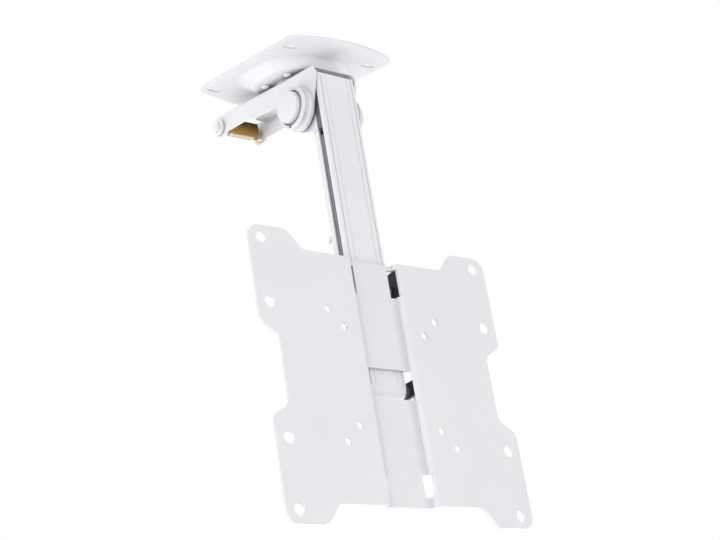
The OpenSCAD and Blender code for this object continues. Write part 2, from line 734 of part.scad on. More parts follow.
module arc_slot() {
  r = tilt_bolt_r + 0.4;
  translate([0, pivot_y, pivot_z]) rotate([0, 90, 0]) {
    rotate([0, 0, 180 - tilt_max]) rotate_extrude(angle = tilt_max)
      translate([lock_up - r, 0]) square([2 * r, 10]);
    for (a = [180 - tilt_max, 180])
      rotate([0, 0, a]) translate([lock_up, 0, 0]) cylinder(r = r, h = 10);
  }
}
module tilt_bracket() {
  x = ear_x;
  difference() {
    union() {
      along_x(x, x + ear_t) bracket_ear();
      translate([0, vesa_t + 0.05, 0]) rotate([-90, 0, 0]) linear_extrude(height = 2)
        polygon(soft([[x, 13], [x + 9, 13], [x + 9, -lock_z - 15], [x, -lock_z - 15]], [0, 4, 4, 0]));
    }
    translate([0, pivot_y, pivot_z]) rod_x(x - 1, x + 5, tilt_bolt_r + run_gap);
    translate([x - 1, 0, 0]) arc_slot();
    rivet_line() rotate([-90, 0, 0]) cylinder(r = 2 + fix_gap / 2, h = 8);
  }
}
module rivet_line() {
  for (z = [pivot_z - 2, pivot_z + 42, lock_z + 2])
    translate([ear_x + 5.6, 0, z]) children();
}
module tilt_bracket_left() {
  color([0.16, 0.16, 0.17]) arm_frame() mirror([1, 0, 0]) tilt_bracket();
}
module tilt_bracket_right() {
  color([0.16, 0.16, 0.17]) arm_frame() tilt_bracket();
}
module bracket_rivets() {
  y0 = vesa_t + 2.05;
  color([0.93, 0.93, 0.94]) arm_frame() both_sides() rivet_line() rotate([-90, 0, 0]) rotate_extrude()
    polygon([[0, vesa_t + 0.05], [2, vesa_t + 0.05], [2, y0], [3, y0],
      [2.8, y0 + 0.9], [1.8, y0 + 1.3], [0, y0 + 1.4]]);
}

ceiling_plate();
backing_plate();
backing_rivets();
swivel_disc();
beam();
swivel_bolt();
swivel_washer();
swivel_nut();
hinge_hub_left();
hinge_hub_right();
hinge_cap_left();
hinge_cap_right();
hinge_bolt();
hinge_nut();
hinge_washers();
catch_plate();
catch_knob();
catch_pin();
arm_tube();
arm_head();
arm_foot();
arm_pins();
front_cover();
rear_cover();
striker();
striker_pin();
tilt_bolts();
tilt_nuts();
tilt_washers();
tilt_spacers();
screen_plate();
tilt_bracket_left();
tilt_bracket_right();
bracket_rivets();
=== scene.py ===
import math

import bmesh
import bpy
from bpy.props import FloatProperty, FloatVectorProperty, PointerProperty
from mathutils import Matrix, Vector


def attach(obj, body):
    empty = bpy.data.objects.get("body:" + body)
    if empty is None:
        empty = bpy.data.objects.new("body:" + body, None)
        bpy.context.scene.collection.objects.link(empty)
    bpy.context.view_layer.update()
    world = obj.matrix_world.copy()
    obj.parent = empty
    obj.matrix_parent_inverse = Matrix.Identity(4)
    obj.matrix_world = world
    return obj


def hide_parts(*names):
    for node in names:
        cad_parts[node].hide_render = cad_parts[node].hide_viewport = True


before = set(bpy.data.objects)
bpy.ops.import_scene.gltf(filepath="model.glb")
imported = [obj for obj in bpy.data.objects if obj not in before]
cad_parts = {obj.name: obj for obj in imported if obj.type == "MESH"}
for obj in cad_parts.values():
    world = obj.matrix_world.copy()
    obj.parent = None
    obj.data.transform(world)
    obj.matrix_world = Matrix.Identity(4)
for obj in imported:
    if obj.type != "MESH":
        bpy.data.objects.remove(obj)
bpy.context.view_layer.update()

bl_info = {
    "name": "Flip-down ceiling mount looks",
    "version": (1, 0, 0),
    "blender": (4, 5, 0),
    "location": "View3D > Sidebar > Ceiling mount",
    "description": "Dresses the swivelling, folding ceiling mount for a small flat screen",
    "category": "Object",
}

MM = 0.001
MERGE = 0.001 * MM  # vertices closer than this become one
SIDES = (-1, 1)
HINGE = (0.0, -40.7 * MM, -46.0 * MM)  # middle of the fold hinge
ARM_LEAN = 10.6  # degrees the arm leans forward at rest
# The knuckle's grey band is painted shade.
KNUCKLE_PAINTED_SHADE_EDGE = -45.0 * MM  # rear edge of the knuckle's grey strip, across the leaning arm
KNUCKLE_PAINTED_SHADE_BLUR = 0.2 * MM
# The greying in inner corners is painted shade.
CORNER_PAINTED_SHADE_REACH = 7 * MM  # how far the greying reaches out of an inner corner
LINE_SCALE = (60.0, 2000.0, 2000.0)  # draws noise out into rolling lines along x
# The catch's brown top is painted shade and its pale lip a painted highlight.
CATCH_PAINTED_SHADE_RUN = (-16.5 * MM, -28.5 * MM)  # heights between which the catch runs from brown to gold
CATCH_PAINTED_HIGHLIGHT_RUN = (-30.0 * MM, -31.8 * MM)  # heights between which it runs from gold to pale

FLOOR_SIDE = 12.0
AIM = (0.0, -0.06, -0.2)  # what all lamps look at
LAMPS = (  # name, place, diameter, watts
    ("key", (-1.6, -0.9, -0.35), 1.6, 11.8),
    ("front", (0.3, -2.0, -0.5), 1.8, 11.2),
    ("under", (0.5, 0.12, -0.60), 0.45, 2.4),
    ("under_left", (-0.35, 0.5, -0.60), 0.7, 3.6),
    ("right", (1.8, 0.2, 0.3), 1.4, 4.0),
    ("top", (0.0, 0.4, 1.8), 2.0, 12.0),
)
ROOM_LIGHT = 0.62  # strength of the world's light on the part; the backdrop itself is 1.0
CAMERA_SPOT = (-0.70831, -0.99090, -0.47770)
CAMERA_LOOK = (0.59597, 0.76396, 0.24736)
CAMERA_UP = (-0.11791, -0.22145, 0.96802)
CAMERA_LENS = 78.76


def colour(hex_code):
    """Linear RGBA from an sRGB hex value."""
    parts = [int(hex_code[i:i + 2], 16) / 255 for i in (1, 3, 5)]
    return [c / 12.92 if c <= 0.04045 else ((c + 0.055) / 1.055) ** 2.4 for c in parts] + [1.0]


class MountSizes(bpy.types.PropertyGroup):
    """Sizes that shape the look of the mount."""

    edge_round: FloatProperty(
        name="Edge round", description="Radius that coating leaves on cut sheet edges",
        default=0.35 * MM, min=0.0, max=1.0 * MM, unit="LENGTH")
    machined_edge: FloatProperty(
        name="Machined edge", description="Chamfer on bolts, nuts and washers",
        default=0.25 * MM, min=0.0, max=0.6 * MM, unit="LENGTH")
    rim_round: FloatProperty(
        name="Plate rim", description="Rounded rim of the pressed ceiling plate",
        default=0.6 * MM, min=0.1 * MM, max=0.9 * MM, unit="LENGTH")
    notch_span: FloatVectorProperty(
        name="Pry notch", description="First and last angle of the notch in the hub's lip",
        size=2, default=(-90.0, -77.0), min=-180.0, max=180.0)
    floor_drop: FloatProperty(
        name="Floor drop", description="Floor below the ceiling face",
        default=0.62, min=0.4, max=3.0, unit="LENGTH")


class MountColours(bpy.types.PropertyGroup):
    """Colours of the coatings and metals."""

    powder_white: FloatVectorProperty(
        name="Powder white", description="White powder coat", subtype="COLOR", size=4,
        default=colour("#EFEFF0"), min=0.0, max=1.0)
    plastic_white: FloatVectorProperty(
        name="Plastic white", description="White moulded covers and caps", subtype="COLOR", size=4,
        default=colour("#F0F0F1"), min=0.0, max=1.0)
    yellow_zinc: FloatVectorProperty(
        name="Yellow zinc", description="Yellow passivated catch", subtype="COLOR", size=4,
        default=colour("#C8A05A"), min=0.0, max=1.0)


def node(tree, kind, inputs=None, **settings):
    """Adds a shader node, sets it and links its inputs."""
    made = tree.nodes.new(kind)
    for key, value in settings.items():
        setattr(made, key, value)
    for key, value in (inputs or {}).items():
        if isinstance(value, bpy.types.NodeSocket):
            tree.links.new(value, made.inputs[key])
        else:
            made.inputs[key].default_value = value
    return made


def noise(tree, place, scale, detail, rough=0.5):
    """A cloudy value between 0 and 1."""
    made = node(tree, "ShaderNodeTexNoise",
                {"Vector": place, "Scale": scale, "Detail": detail, "Roughness": rough})
    return made.outputs["Fac"]


def blend(tree, factor, a, b):
    """Colour a where the factor is 0, colour b where it is 1."""
    made = node(tree, "ShaderNodeMix", {"Factor": factor, "A": a, "B": b}, data_type="RGBA")
    return made.outputs["Result"]


def spread(tree, value, low, high):
    """Stretches a value between 0 and 1 to low and high."""
    made = node(tree, "ShaderNodeMapRange", {"Value": value, "To Min": low, "To Max": high})
    return made.outputs["Result"]


def ramp(tree, value, start, end):
    """0 where the value is at start, 1 where it is at end, held beyond them."""
    made = node(tree, "ShaderNodeMapRange", {"Value": value, "From Min": start, "From Max": end})
    return made.outputs["Result"]


def relief(tree, height, strength, distance):
    """Surface normals that show a height."""
    made = node(tree, "ShaderNodeBump",
                {"Height": height, "Strength": strength, "Distance": distance})
    return made.outputs["Normal"]


def start_material(name):
    """An empty material with its tree and the place on the piece."""
    material = bpy.data.materials.new(name)
    material.use_nodes = True
    tree = material.node_tree
    tree.nodes.clear()
    return material, tree, node(tree, "ShaderNodeTexCoord").outputs["Object"]


def close_material(tree, inputs):
    """Ends a material with one principled surface."""
    shader = node(tree, "ShaderNodeBsdfPrincipled", inputs)
    out = node(tree, "ShaderNodeOutputMaterial")
    tree.links.new(shader.outputs["BSDF"], out.inputs["Surface"])


def painted_corner_shade(tree, tone):
    """Paints shade a little into the inner corners of a pale finish, a grey tone read from the
    photo.
    """
    corner = node(tree, "ShaderNodeAmbientOcclusion", {"Distance": CORNER_PAINTED_SHADE_REACH}, samples=12)
    return blend(tree, corner.outputs["AO"], colour("#A8A8B2"), tone)


def rolled(tree, place, roughness):
    """Roughness and normals of rolled sheet, with fine lines 0.5 mm apart."""
    stretched = node(tree, "ShaderNodeMapping", {"Vector": place, "Scale": LINE_SCALE})
    lines = noise(tree, stretched.outputs["Vector"], scale=1.0, detail=3.0)
    return {"Roughness": spread(tree, lines, roughness - 0.06, roughness + 0.1),
            "Normal": relief(tree, lines, strength=0.06, distance=0.1 * MM)}


def powder_coat(name, base, shade, roughness, painted_shade_strip=None):
    """Polyester powder baked on steel: satin, with a faint orange peel about 1.6 mm apart."""
    material, tree, place = start_material(name)
    peel = noise(tree, place, scale=620.0, detail=2.0, rough=0.45)
    cloud = noise(tree, place, scale=22.0, detail=3.0)
    # Painted shade: grey mixed into the inner corners.
    tone = painted_corner_shade(tree, blend(tree, cloud, base, shade))
    if painted_shade_strip:
        # Painted shade: a dark grey band on the knuckle ahead of the rear cover's edge. The
        # photo shows a grey strip ahead of the rear cover's edge; its cause is a guess.
        lean = math.radians(ARM_LEAN)
        across = node(tree, "ShaderNodeVectorMath",
                      {0: place, 1: (0.0, math.cos(lean), -math.sin(lean))},
                      operation="DOT_PRODUCT")
        behind = ramp(tree, across.outputs["Value"], KNUCKLE_PAINTED_SHADE_EDGE - KNUCKLE_PAINTED_SHADE_BLUR,
                      KNUCKLE_PAINTED_SHADE_EDGE + KNUCKLE_PAINTED_SHADE_BLUR)
        tone = blend(tree, behind, painted_shade_strip, tone)
    close_material(tree, {
        "Base Color": tone, "IOR": 1.5,
        "Roughness": spread(tree, peel, roughness - 0.04, roughness + 0.06),
        "Normal": relief(tree, peel, strength=0.10, distance=0.2 * MM)})
    return material


def moulded_plastic(name, base, shade, roughness):
    """Injection-moulded plastic with a spark-eroded grain of about 0.8 mm, coarser than real."""
    material, tree, place = start_material(name)
    grain = noise(tree, place, scale=1250.0, detail=1.0)
    flow = noise(tree, place, scale=14.0, detail=2.0)
    # Painted shade: grey mixed into the inner corners.
    close_material(tree, {
        "Base Color": painted_corner_shade(tree, blend(tree, flow, base, shade)), "IOR": 1.54,
        "Roughness": spread(tree, grain, roughness - 0.03, roughness + 0.05),
        "Normal": relief(tree, grain, strength=0.08, distance=0.1 * MM)})
    return material


def plated_steel(name, base, tint, roughness):
    """Electroplated zinc on rolled steel: a soft mirror with a cloudy passivation."""
    material, tree, place = start_material(name)
    cloud = noise(tree, place, scale=90.0, detail=4.0, rough=0.6)
    close_material(tree, {
        "Base Color": blend(tree, cloud, base, tint), "Metallic": 1.0,
        **rolled(tree, place, roughness)})
    return material


def yellow_zinc_with_painted_shade(name, brown, gold, pale, roughness):
    """Yellow chromate on zinc-plated steel, painted with the photo's run from a brown top over
    gold to a pale lip: the brown top is painted shade, the pale lip a painted highlight. Why
    the real catch shows this run is a guess. The clouds are about 5 mm wide."""
    material, tree, place = start_material(name)
    split = node(tree, "ShaderNodeSeparateXYZ", {"Vector": place})
    cloud = noise(tree, place, scale=200.0, detail=3.0, rough=0.6)
    height = node(tree, "ShaderNodeMath", {0: cloud, 1: 3.0 * MM, 2: split.outputs["Z"]},
                  operation="MULTIPLY_ADD").outputs[0]
    # Painted shade: brown at the top, running to gold lower down.
    body = blend(tree, ramp(tree, height, *CATCH_PAINTED_SHADE_RUN), brown, gold)
    # Painted highlight: running to pale on the lip.
    close_material(tree, {
        "Base Color": blend(tree, ramp(tree, height, *CATCH_PAINTED_HIGHLIGHT_RUN), body, pale), "Metallic": 1.0,
        **rolled(tree, place, roughness)})
    return material


def dark_coat(name, base, shade, roughness):
    """Black electrocoat on steel: thin and smooth, with a slightly greyer speckle of 3 mm."""
    material, tree, place = start_material(name)
    speckle = noise(tree, place, scale=330.0, detail=3.0)
    close_material(tree, {
        "Base Color": blend(tree, speckle, base, shade), "IOR": 1.5, "Roughness": roughness,
        "Normal": relief(tree, speckle, strength=0.08, distance=0.2 * MM)})
    return material


FINISH = {}


def make_finishes():
    """Makes every material once; FINISH holds them by their short names."""
    paint = bpy.context.scene.mount_colours
    powder_shade = colour("#E9E9EB")
    FINISH["powder"] = powder_coat(
        "white_powder_coat_on_steel", paint.powder_white, powder_shade, 0.40)
    # The grey here is painted shade on the knuckle.
    FINISH["powder_with_painted_shade_strip"] = powder_coat(
        "white_powder_coat_on_grey_knuckle", paint.powder_white, powder_shade, 0.40,
        painted_shade_strip=colour("#6E6E74"))
    FINISH["plastic"] = moulded_plastic(
        "white_moulded_abs", paint.plastic_white, colour("#EBEBED"), 0.34)
    FINISH["zinc"] = plated_steel(
        "bright_zinc_plated_steel", colour("#C9CBCF"), colour("#B4B7BC"), 0.30)
    # The brown is painted shade and the pale a painted highlight.
    FINISH["yellow"] = yellow_zinc_with_painted_shade(
        "yellow_passivated_zinc_steel", colour("#4A3010"), paint.yellow_zinc,
        colour("#F6EBCF"), 0.30)
    FINISH["pale_nylon"] = moulded_plastic(
        "natural_moulded_nylon", colour("#DEDEDF"), colour("#D6D6D8"), 0.45)
    FINISH["nylon"] = moulded_plastic(
        "black_moulded_nylon", colour("#2A2A2C"), colour("#323236"), 0.5)
    FINISH["dark"] = dark_coat(
        "black_electrocoated_steel", colour("#2B2B2F"), colour("#343439"), 0.42)


NODE_FINISH = {
    "powder": ["ceiling_plate", "backing_rivets", "beam", "hinge_hub_left", "hinge_hub_right",
               "striker", "striker_pin", "screen_plate", "bracket_rivets"],
    "powder_with_painted_shade_strip": ["arm_head"],
    "plastic": ["hinge_cap_left", "hinge_cap_right", "catch_knob", "front_cover", "rear_cover"],
    "zinc": ["backing_plate", "swivel_bolt", "swivel_washer", "swivel_nut", "hinge_bolt",
             "hinge_nut", "catch_pin", "arm_pins", "tilt_bolts", "tilt_nuts", "tilt_washers"],
    "yellow": ["catch_plate"],
    "pale_nylon": ["swivel_disc"],
    "nylon": ["hinge_washers", "tilt_spacers"],
    "dark": ["arm_tube", "arm_foot", "tilt_bracket_left", "tilt_bracket_right"],
}


def soften(obj, width):
    """Joins the node's loose triangles and rounds its edges, as modifiers on the node."""
    weld = obj.modifiers.new("weld", "WELD")
    weld.merge_threshold = 0.002 * MM
    flat = obj.modifiers.new("flat_faces", "DECIMATE")
    flat.decimate_type = "DISSOLVE"
    flat.angle_limit = math.radians(0.6)
    edge = obj.modifiers.new("edge_round", "BEVEL")
    edge.width = width
    edge.segments = 2
    edge.limit_method = "ANGLE"
    edge.angle_limit = math.radians(40)
    edge.use_clamp_overlap = True
    edge.harden_normals = False


class MOUNT_OT_cad_finishes(bpy.types.Operator):
    """Gives every carried-over node its finish"""

    bl_idname = "mount.cad_finishes"
    bl_label = "Finishes on the frame"

    def execute(self, context):
        make_finishes()
        sizes = context.scene.mount_sizes
        for finish, names in NODE_FINISH.items():
            for name in names:
                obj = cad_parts[name]
                obj.data.materials.clear()
                obj.data.materials.append(FINISH[finish])
                soften(obj, sizes.machined_edge if finish == "zinc" else sizes.edge_round)
        return {"FINISHED"}


def blank(name):
    """An empty mesh object at the origin, open in edit mode, ready for primitives."""
    bpy.ops.object.select_all(action="DESELECT")
    bpy.ops.mesh.primitive_plane_add(size=2 * MM, location=(0, 0, 0))
    obj = bpy.context.active_object
    obj.name = name
    obj.data.name = name
    bpy.ops.object.mode_set(mode="EDIT")
    bpy.ops.mesh.select_all(action="SELECT")
    bpy.ops.mesh.delete(type="VERT")
    return obj


def pick(obj, kind, test):
    """Selects only the verts, edges or faces whose corners all pass the test."""
    mesh = bmesh.from_edit_mesh(obj.data)
    for parts in (mesh.faces, mesh.edges, mesh.verts):
        for part in parts:
            part.select_set(False)
    found = 0
    for part in getattr(mesh, kind):
        corners = [part] if kind == "verts" else part.verts
        if all(test(corner.co) for corner in corners):
            part.select_set(True)
            found += 1
    mesh.select_flush_mode()
    bmesh.update_edit_mesh(obj.data)
    if not found:
        raise RuntimeError("nothing to select on " + obj.name)


def shift(x, y, z):
    """Moves what is selected by so many millimetres."""
    bpy.ops.transform.translate(value=(x * MM, y * MM, z * MM))


def draw_out(x, y, z):
    """Extrudes what is selected and moves the new part by so many millimetres."""
    bpy.ops.mesh.extrude_region()
    shift(x, y, z)


def first_vertex():
    """Adds one selected vertex at the origin to the mesh in edit mode."""
    bpy.ops.mesh.primitive_plane_add(size=MM, location=(0, 0, 0))
    bpy.ops.mesh.merge(type="CENTER")


def rectangle(width, length, place):
    """Adds a rectangular face to the mesh in edit mode and leaves it selected."""
    bpy.ops.mesh.select_all(action="DESELECT")
    bpy.ops.mesh.primitive_plane_add(size=1.0, location=place)
    bpy.ops.transform.resize(value=(width, length, 1.0), center_override=place)


def outline(width, length, place, radius, segments):
    """Adds a rounded rectangle of edges to the mesh in edit mode and leaves it selected."""
    rectangle(width, length, place)
    bpy.ops.mesh.bevel(offset=radius, segments=segments, affect="VERTICES")
    bpy.ops.mesh.delete(type="ONLY_FACE")


def close_sheet(obj, thickness, outside, edge, segments):
    """Leaves edit mode and turns a one-sided sheet into a plate with softened cut edges."""
    bpy.ops.mesh.select_all(action="SELECT")
    bpy.ops.mesh.remove_doubles(threshold=MERGE)
    bpy.ops.mesh.normals_make_consistent(inside=False)
    mesh = bmesh.from_edit_mesh(obj.data)
    facing = sum(face.calc_area() * face.normal.dot(Vector(outside)) for face in mesh.faces)
    if facing < 0:
        bpy.ops.mesh.flip_normals()
    bpy.ops.object.mode_set(mode="OBJECT")
    wall = obj.modifiers.new("wall", "SOLIDIFY")
    wall.thickness = thickness
    wall.offset = -1.0
    wall.use_even_offset = True
    rim = obj.modifiers.new("rim", "BEVEL")
    rim.width = edge
    rim.segments = segments
    rim.limit_method = "ANGLE"
    rim.angle_limit = math.radians(50)
    for name in ("wall", "rim"):
        bpy.ops.object.modifier_apply(modifier=name)
    bpy.ops.object.shade_smooth_by_angle(angle=math.radians(28))


def close_turned():
    """Leaves edit mode and shades a turned piece smooth between its steps."""
    bpy.ops.object.mode_set(mode="OBJECT")
    bpy.ops.object.shade_smooth_by_angle(angle=math.radians(32))


def dress(obj, finish, body, node_name):
    """Gives a modelled piece its finish, its body and the node whose place it takes."""
    obj.data.materials.clear()
    obj.data.materials.append(FINISH[finish])
    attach(obj, body)
    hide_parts(node_name)


def arc(r, x, radius, degrees, steps):
    """Profile points on an arc round (r, x), from its largest r towards larger x."""
    turns = [math.radians(i * degrees / steps) for i in range(steps + 1)]
    return [(r + radius * math.cos(turn), x + radius * math.sin(turn)) for turn in turns]


def spun_left(name, profile, steps=96):
    """Spins a closed profile of (radius, distance to the left) in mm round the hinge line."""
    obj = blank(name)
    points = [(r * MM, -x * MM) for r, x in profile]
    first_vertex()
    spot = Vector((points[0][1], HINGE[1], HINGE[2] + points[0][0]))
    bpy.ops.transform.translate(value=spot)
    for (r0, x0), (r1, x1) in zip(points, points[1:] + points[:1]):
        bpy.ops.mesh.extrude_region()
        bpy.ops.transform.translate(value=(x1 - x0, 0.0, r1 - r0))
    bpy.ops.mesh.select_all(action="SELECT")
    bpy.ops.mesh.remove_doubles(threshold=MERGE)
    bpy.ops.mesh.spin(steps=steps, angle=math.tau, center=HINGE, axis=(1, 0, 0))
    bpy.ops.mesh.select_all(action="SELECT")
    bpy.ops.mesh.remove_doubles(threshold=MERGE)
    bpy.ops.mesh.normals_make_consistent(inside=False)
    return obj


def mirrored(obj, name):
    """Copies a finished piece across the middle, with its own mesh."""
    bpy.ops.object.select_all(action="DESELECT")
    obj.select_set(True)
    bpy.context.view_layer.objects.active = obj
    bpy.ops.object.duplicate(linked=False)
    twin = bpy.context.active_object
    twin.name = name
    twin.data.name = name
    bpy.ops.object.mode_set(mode="EDIT")
    bpy.ops.mesh.select_all(action="SELECT")
    bpy.ops.transform.resize(value=(-1, 1, 1), center_override=(0, 0, 0))
    bpy.ops.mesh.normals_make_consistent(inside=False)
    bpy.ops.object.mode_set(mode="OBJECT")
    return twin


class MOUNT_OT_ceiling_plate(bpy.types.Operator):
    """Pressed ceiling plate with its smooth dome"""

    bl_idname = "mount.ceiling_plate"
    bl_label = "Pressed ceiling plate"

    def execute(self, context):
        sheet, crown_z = 2.0, -11.0
        under, low = -sheet * MM, crown_z * MM
        obj = blank("pressed_ceiling_plate")
        self.draw_edge(obj, under)
        slot_length, slot_width, slot_x, slot_y = 12.0, 6.0, 38.0, 55.0
        for sx in SIDES:
            for sy in SIDES:
                place = (sx * slot_x * MM, sy * slot_y * MM, under)
                outline(slot_length * MM, slot_width * MM, place, 2.98 * MM, 8)
        # Width, length, middle y and z of the dome's foot and of its crown, in mm.
        self.draw_dome(obj, (81.0, 96.0, -3.0, -sheet), (62.0, 65.0, -10.5, crown_z))
        bolt_y, rivet_x, rivet_y = -10.5, 20.5, 15.7
        holes = [(0.0, bolt_y, 5.06)]
        holes += [(sx * rivet_x, bolt_y + sy * rivet_y, 2.55) for sx in SIDES for sy in SIDES]
        for x, y, r in holes:
            bpy.ops.mesh.select_all(action="DESELECT")
            bpy.ops.mesh.primitive_circle_add(
                vertices=32, radius=r * MM, location=(x * MM, y * MM, low))
        for level in (under, low):
            pick(obj, "edges", lambda co: abs(co.z - level) < 0.004 * MM)
            bpy.ops.mesh.fill(use_beauty=True)
        close_sheet(obj, sheet * MM, (0, 0, -1), context.scene.mount_sizes.rim_round, 3)
        dress(obj, "powder", "ceiling", "ceiling_plate")
        return {"FINISHED"}

    def draw_edge(self, obj, under):
        """The plate's edge: straight sides, bowed ends and rounded corners."""
        half_width, half_length, middle_y, near = 50.0, 66.0, -6.0, 0.01 * MM
        bow_radius, bow_height = 110.0, 13.0
        columns = (-half_width, -38, -28, -18, -9, 0, 9, 18, 28, 38, half_width)
        rectangle(2 * half_width * MM, 2 * half_length * MM, (0, middle_y * MM, under))
        bpy.ops.mesh.delete(type="ONLY_FACE")
        for end in SIDES:
            side = (middle_y + end * half_length) * MM
            pick(obj, "edges", lambda co: abs(co.y - side) < near)
            bpy.ops.mesh.subdivide(number_cuts=len(columns) - 2)
            verts = bmesh.from_edit_mesh(obj.data).verts
            rank = sorted({round(v.co.x, 6) for v in verts if abs(v.co.y - side) < near})
            for old, new in zip(rank, columns):
                rise = math.sqrt(bow_radius ** 2 - new ** 2) - (bow_radius - bow_height)
                pick(obj, "verts", lambda co: abs(co.y - side) < near and abs(co.x - old) < near)
                shift(new - old / MM, end * rise, 0)
        pick(obj, "verts", lambda co: abs(co.x) > (half_width - 0.1) * MM)
        bpy.ops.mesh.bevel(offset=6.1 * MM, segments=8, affect="VERTICES")

    def draw_dome(self, obj, foot, crown):
        """The dome: a rounded loop drawn inwards and down in steps on a soft S-curve."""
        width, length, y, z = foot
        outline(width * MM, length * MM, (0, y * MM, z * MM), 34 * MM, 14)
        pick(obj, "edges", lambda co: abs(co.x) < (foot[0] / 2 + 0.1) * MM
             and abs(co.y - foot[2] * MM) < (foot[1] / 2 + 0.1) * MM)
        steps = 14
        for i in range(1, steps + 1):
            t = i / steps
            late = t ** 1.25
            fall = late * late * (3 - 2 * late)
            new = [a + (b - a) * part for a, b, part in zip(foot, crown, (t, t, t, fall))]
            bpy.ops.mesh.extrude_region()
            bpy.ops.transform.resize(value=(new[0] / width, new[1] / length, 1.0),
                                     center_override=(0, y * MM, z * MM))
            shift(0, new[2] - y, new[3] - z)
            width, length, y, z = new


class MOUNT_OT_hubs(bpy.types.Operator):
    """Round hinge hubs with a waist, a rolled lip and a stepped recess"""

    bl_idname = "mount.hubs"
    bl_label = "Hinge hubs"

    def execute(self, context):
        inner, outer, floor = 20.5, 29.0, 23.0
        bolt_hole, cavity, cap_bore, rim = 5.1, 10.6, 13.15, 17.5
        waist, lip, recess = 2.5, 1.1, 3.0
        profile = [(bolt_hole, inner), (rim, inner), (rim, inner + 0.9)]
        for i in range(13):
            swing = math.sin(math.radians(15 + 12.5 * i))
            profile.append((rim - 0.1 - waist * swing * swing, inner + 1.3 + 5.3 * i / 12))
        profile += arc(rim - 1.6, outer - lip, lip, 90, 8)
        steps = ((1.2, 0), (1.0, 0.2), (1.0, 1.1), (0.7, 1.4), (0.7, 2.6), (0, 2.7), (0, recess))
        profile += [(cap_bore + wider, outer - deep) for wider, deep in steps]
        profile += [(cavity, outer - recess), (cavity, floor), (bolt_hole, floor)]
        left = spun_left("hinge_hub_turned_left", profile)
        # Pry notch in the lip, where a blade lifts the cap.
        low, high = (math.radians(a) for a in context.scene.mount_sizes.notch_span)

        def in_notch(co):
            y, z = co.y - HINGE[1], co.z - HINGE[2]
            return (low < math.atan2(z, y) < high and co.x < -(outer - 0.25) * MM
                    and math.hypot(y, z) < (rim - 0.6) * MM)

        pick(left, "faces", in_notch)
        draw_out(1.6, 0, 0)
        close_turned()
        right = mirrored(left, "hinge_hub_turned_right")
        dress(left, "powder", "beam", "hinge_hub_left")
        dress(right, "powder", "beam", "hinge_hub_right")
        return {"FINISHED"}


class MOUNT_OT_caps(bpy.types.Operator):
    """Push-in caps in the hubs, slightly domed with a rounded edge"""

    bl_idname = "mount.caps"
    bl_label = "Hinge caps"

    def execute(self, context):
        inner, outer, skirt, rim = 26.0, 34.0, 11.6, 12.8
        edge, dome, rings = 1.0, 0.5, 8
        profile = [(skirt, inner), (rim - 0.3, inner), (rim, inner + 0.3)]
        profile += arc(rim - edge, outer - dome - edge, edge, 84, 7)
        for i in range(1, rings + 1):
            t = 1 - i / rings
            profile.append(((rim - edge) * max(t, 0.002), outer - dome * t * t))
        profile += [(0.03, outer - 1.8), (skirt, outer - 2.2)]
        left = spun_left("hinge_cap_domed_left", profile)
        bpy.ops.mesh.remove_doubles(threshold=0.2 * MM)
        bpy.ops.mesh.normals_make_consistent(inside=False)
        close_turned()
        right = mirrored(left, "hinge_cap_domed_right")
        dress(left, "plastic", "beam", "hinge_cap_left")
        dress(right, "plastic", "beam", "hinge_cap_right")
        return {"FINISHED"}


class MOUNT_OT_catch(bpy.types.Operator):
    """Catch bent from one strip: face, forward lip with a notch, and two ears"""

    bl_idname = "mount.catch"
    bl_label = "Bent catch"

    def execute(self, context):
        face_y, top_z, lip_z, tip_y = 69.0, -17.9, -32.7, 63.8
        ear_top, ear_low, ear_length = -20.6, -31.0, 8.0
        half, fold, lip_fold, near = 15.2, 1.2, 1.0, 0.1
        flat = half - fold
        lip_reach = {-1: 17.6, 1: 14.6}
        notch = (6.3, 10.7)
        points = [(face_y, top_z), (face_y, ear_top), (face_y, ear_low),
                  (face_y, lip_z + lip_fold)]
        for i in range(1, 6):
            turn = math.radians(18 * i)
            points.append((face_y - lip_fold + lip_fold * math.cos(turn),
                           lip_z + lip_fold - lip_fold * math.sin(turn)))
        points.append((tip_y, lip_z))
        obj = blank("bent_catch")
        first_vertex()
        shift(-flat, *points[0])
        for (y0, z0), (y1, z1) in zip(points, points[1:]):
            draw_out(0, y1 - y0, z1 - z0)
        bpy.ops.mesh.select_all(action="SELECT")
        stations = (-flat, *notch, flat)
        for x0, x1 in zip(stations, stations[1:]):
            draw_out(x1 - x0, 0, 0)
        pick(obj, "faces", lambda co: (notch[0] - near) * MM < co.x < (notch[1] + near) * MM
             and co.y < (face_y - 0.3) * MM)
        bpy.ops.mesh.delete(type="FACE")
        for side in SIDES:
            # The lip runs on past the fold, and the ear is folded back beside the face.
            pick(obj, "edges", lambda co: co.x * side > (flat - 0.01) * MM
                 and co.z < (ear_low + near) * MM)
            draw_out(side * (lip_reach[side] - flat), 0, 0)
            pick(obj, "edges", lambda co: abs(co.x * side - flat * MM) < MERGE
                 and (ear_low - near) * MM < co.z < (ear_top + near) * MM)
            x_was, y_was = flat, face_y
            for i in range(1, 7):
                turn = math.radians(15 * i)
                x_now = flat + fold * math.sin(turn)
                y_now = face_y + fold - fold * math.cos(turn)
                draw_out(side * (x_now - x_was), y_now - y_was, 0)
                x_was, y_was = x_now, y_now
            draw_out(0, ear_length, 0)
            pick(obj, "verts", lambda co: co.x * side > (half - 0.01) * MM
                 and co.y > (face_y + 9) * MM)
            bpy.ops.mesh.bevel(offset=4.9 * MM, segments=8, affect="VERTICES")
        pick(obj, "verts", lambda co: co.y < (tip_y + 0.01) * MM and (
            co.x < (near - lip_reach[-1]) * MM or co.x > (lip_reach[1] - near) * MM))
        bpy.ops.mesh.bevel(offset=1.5 * MM, segments=4, affect="VERTICES")
        close_sheet(obj, 1.5 * MM, (0, -1, 0), 0.3 * MM, 2)
        dress(obj, "yellow", "catch", "catch_plate")
        return {"FINISHED"}


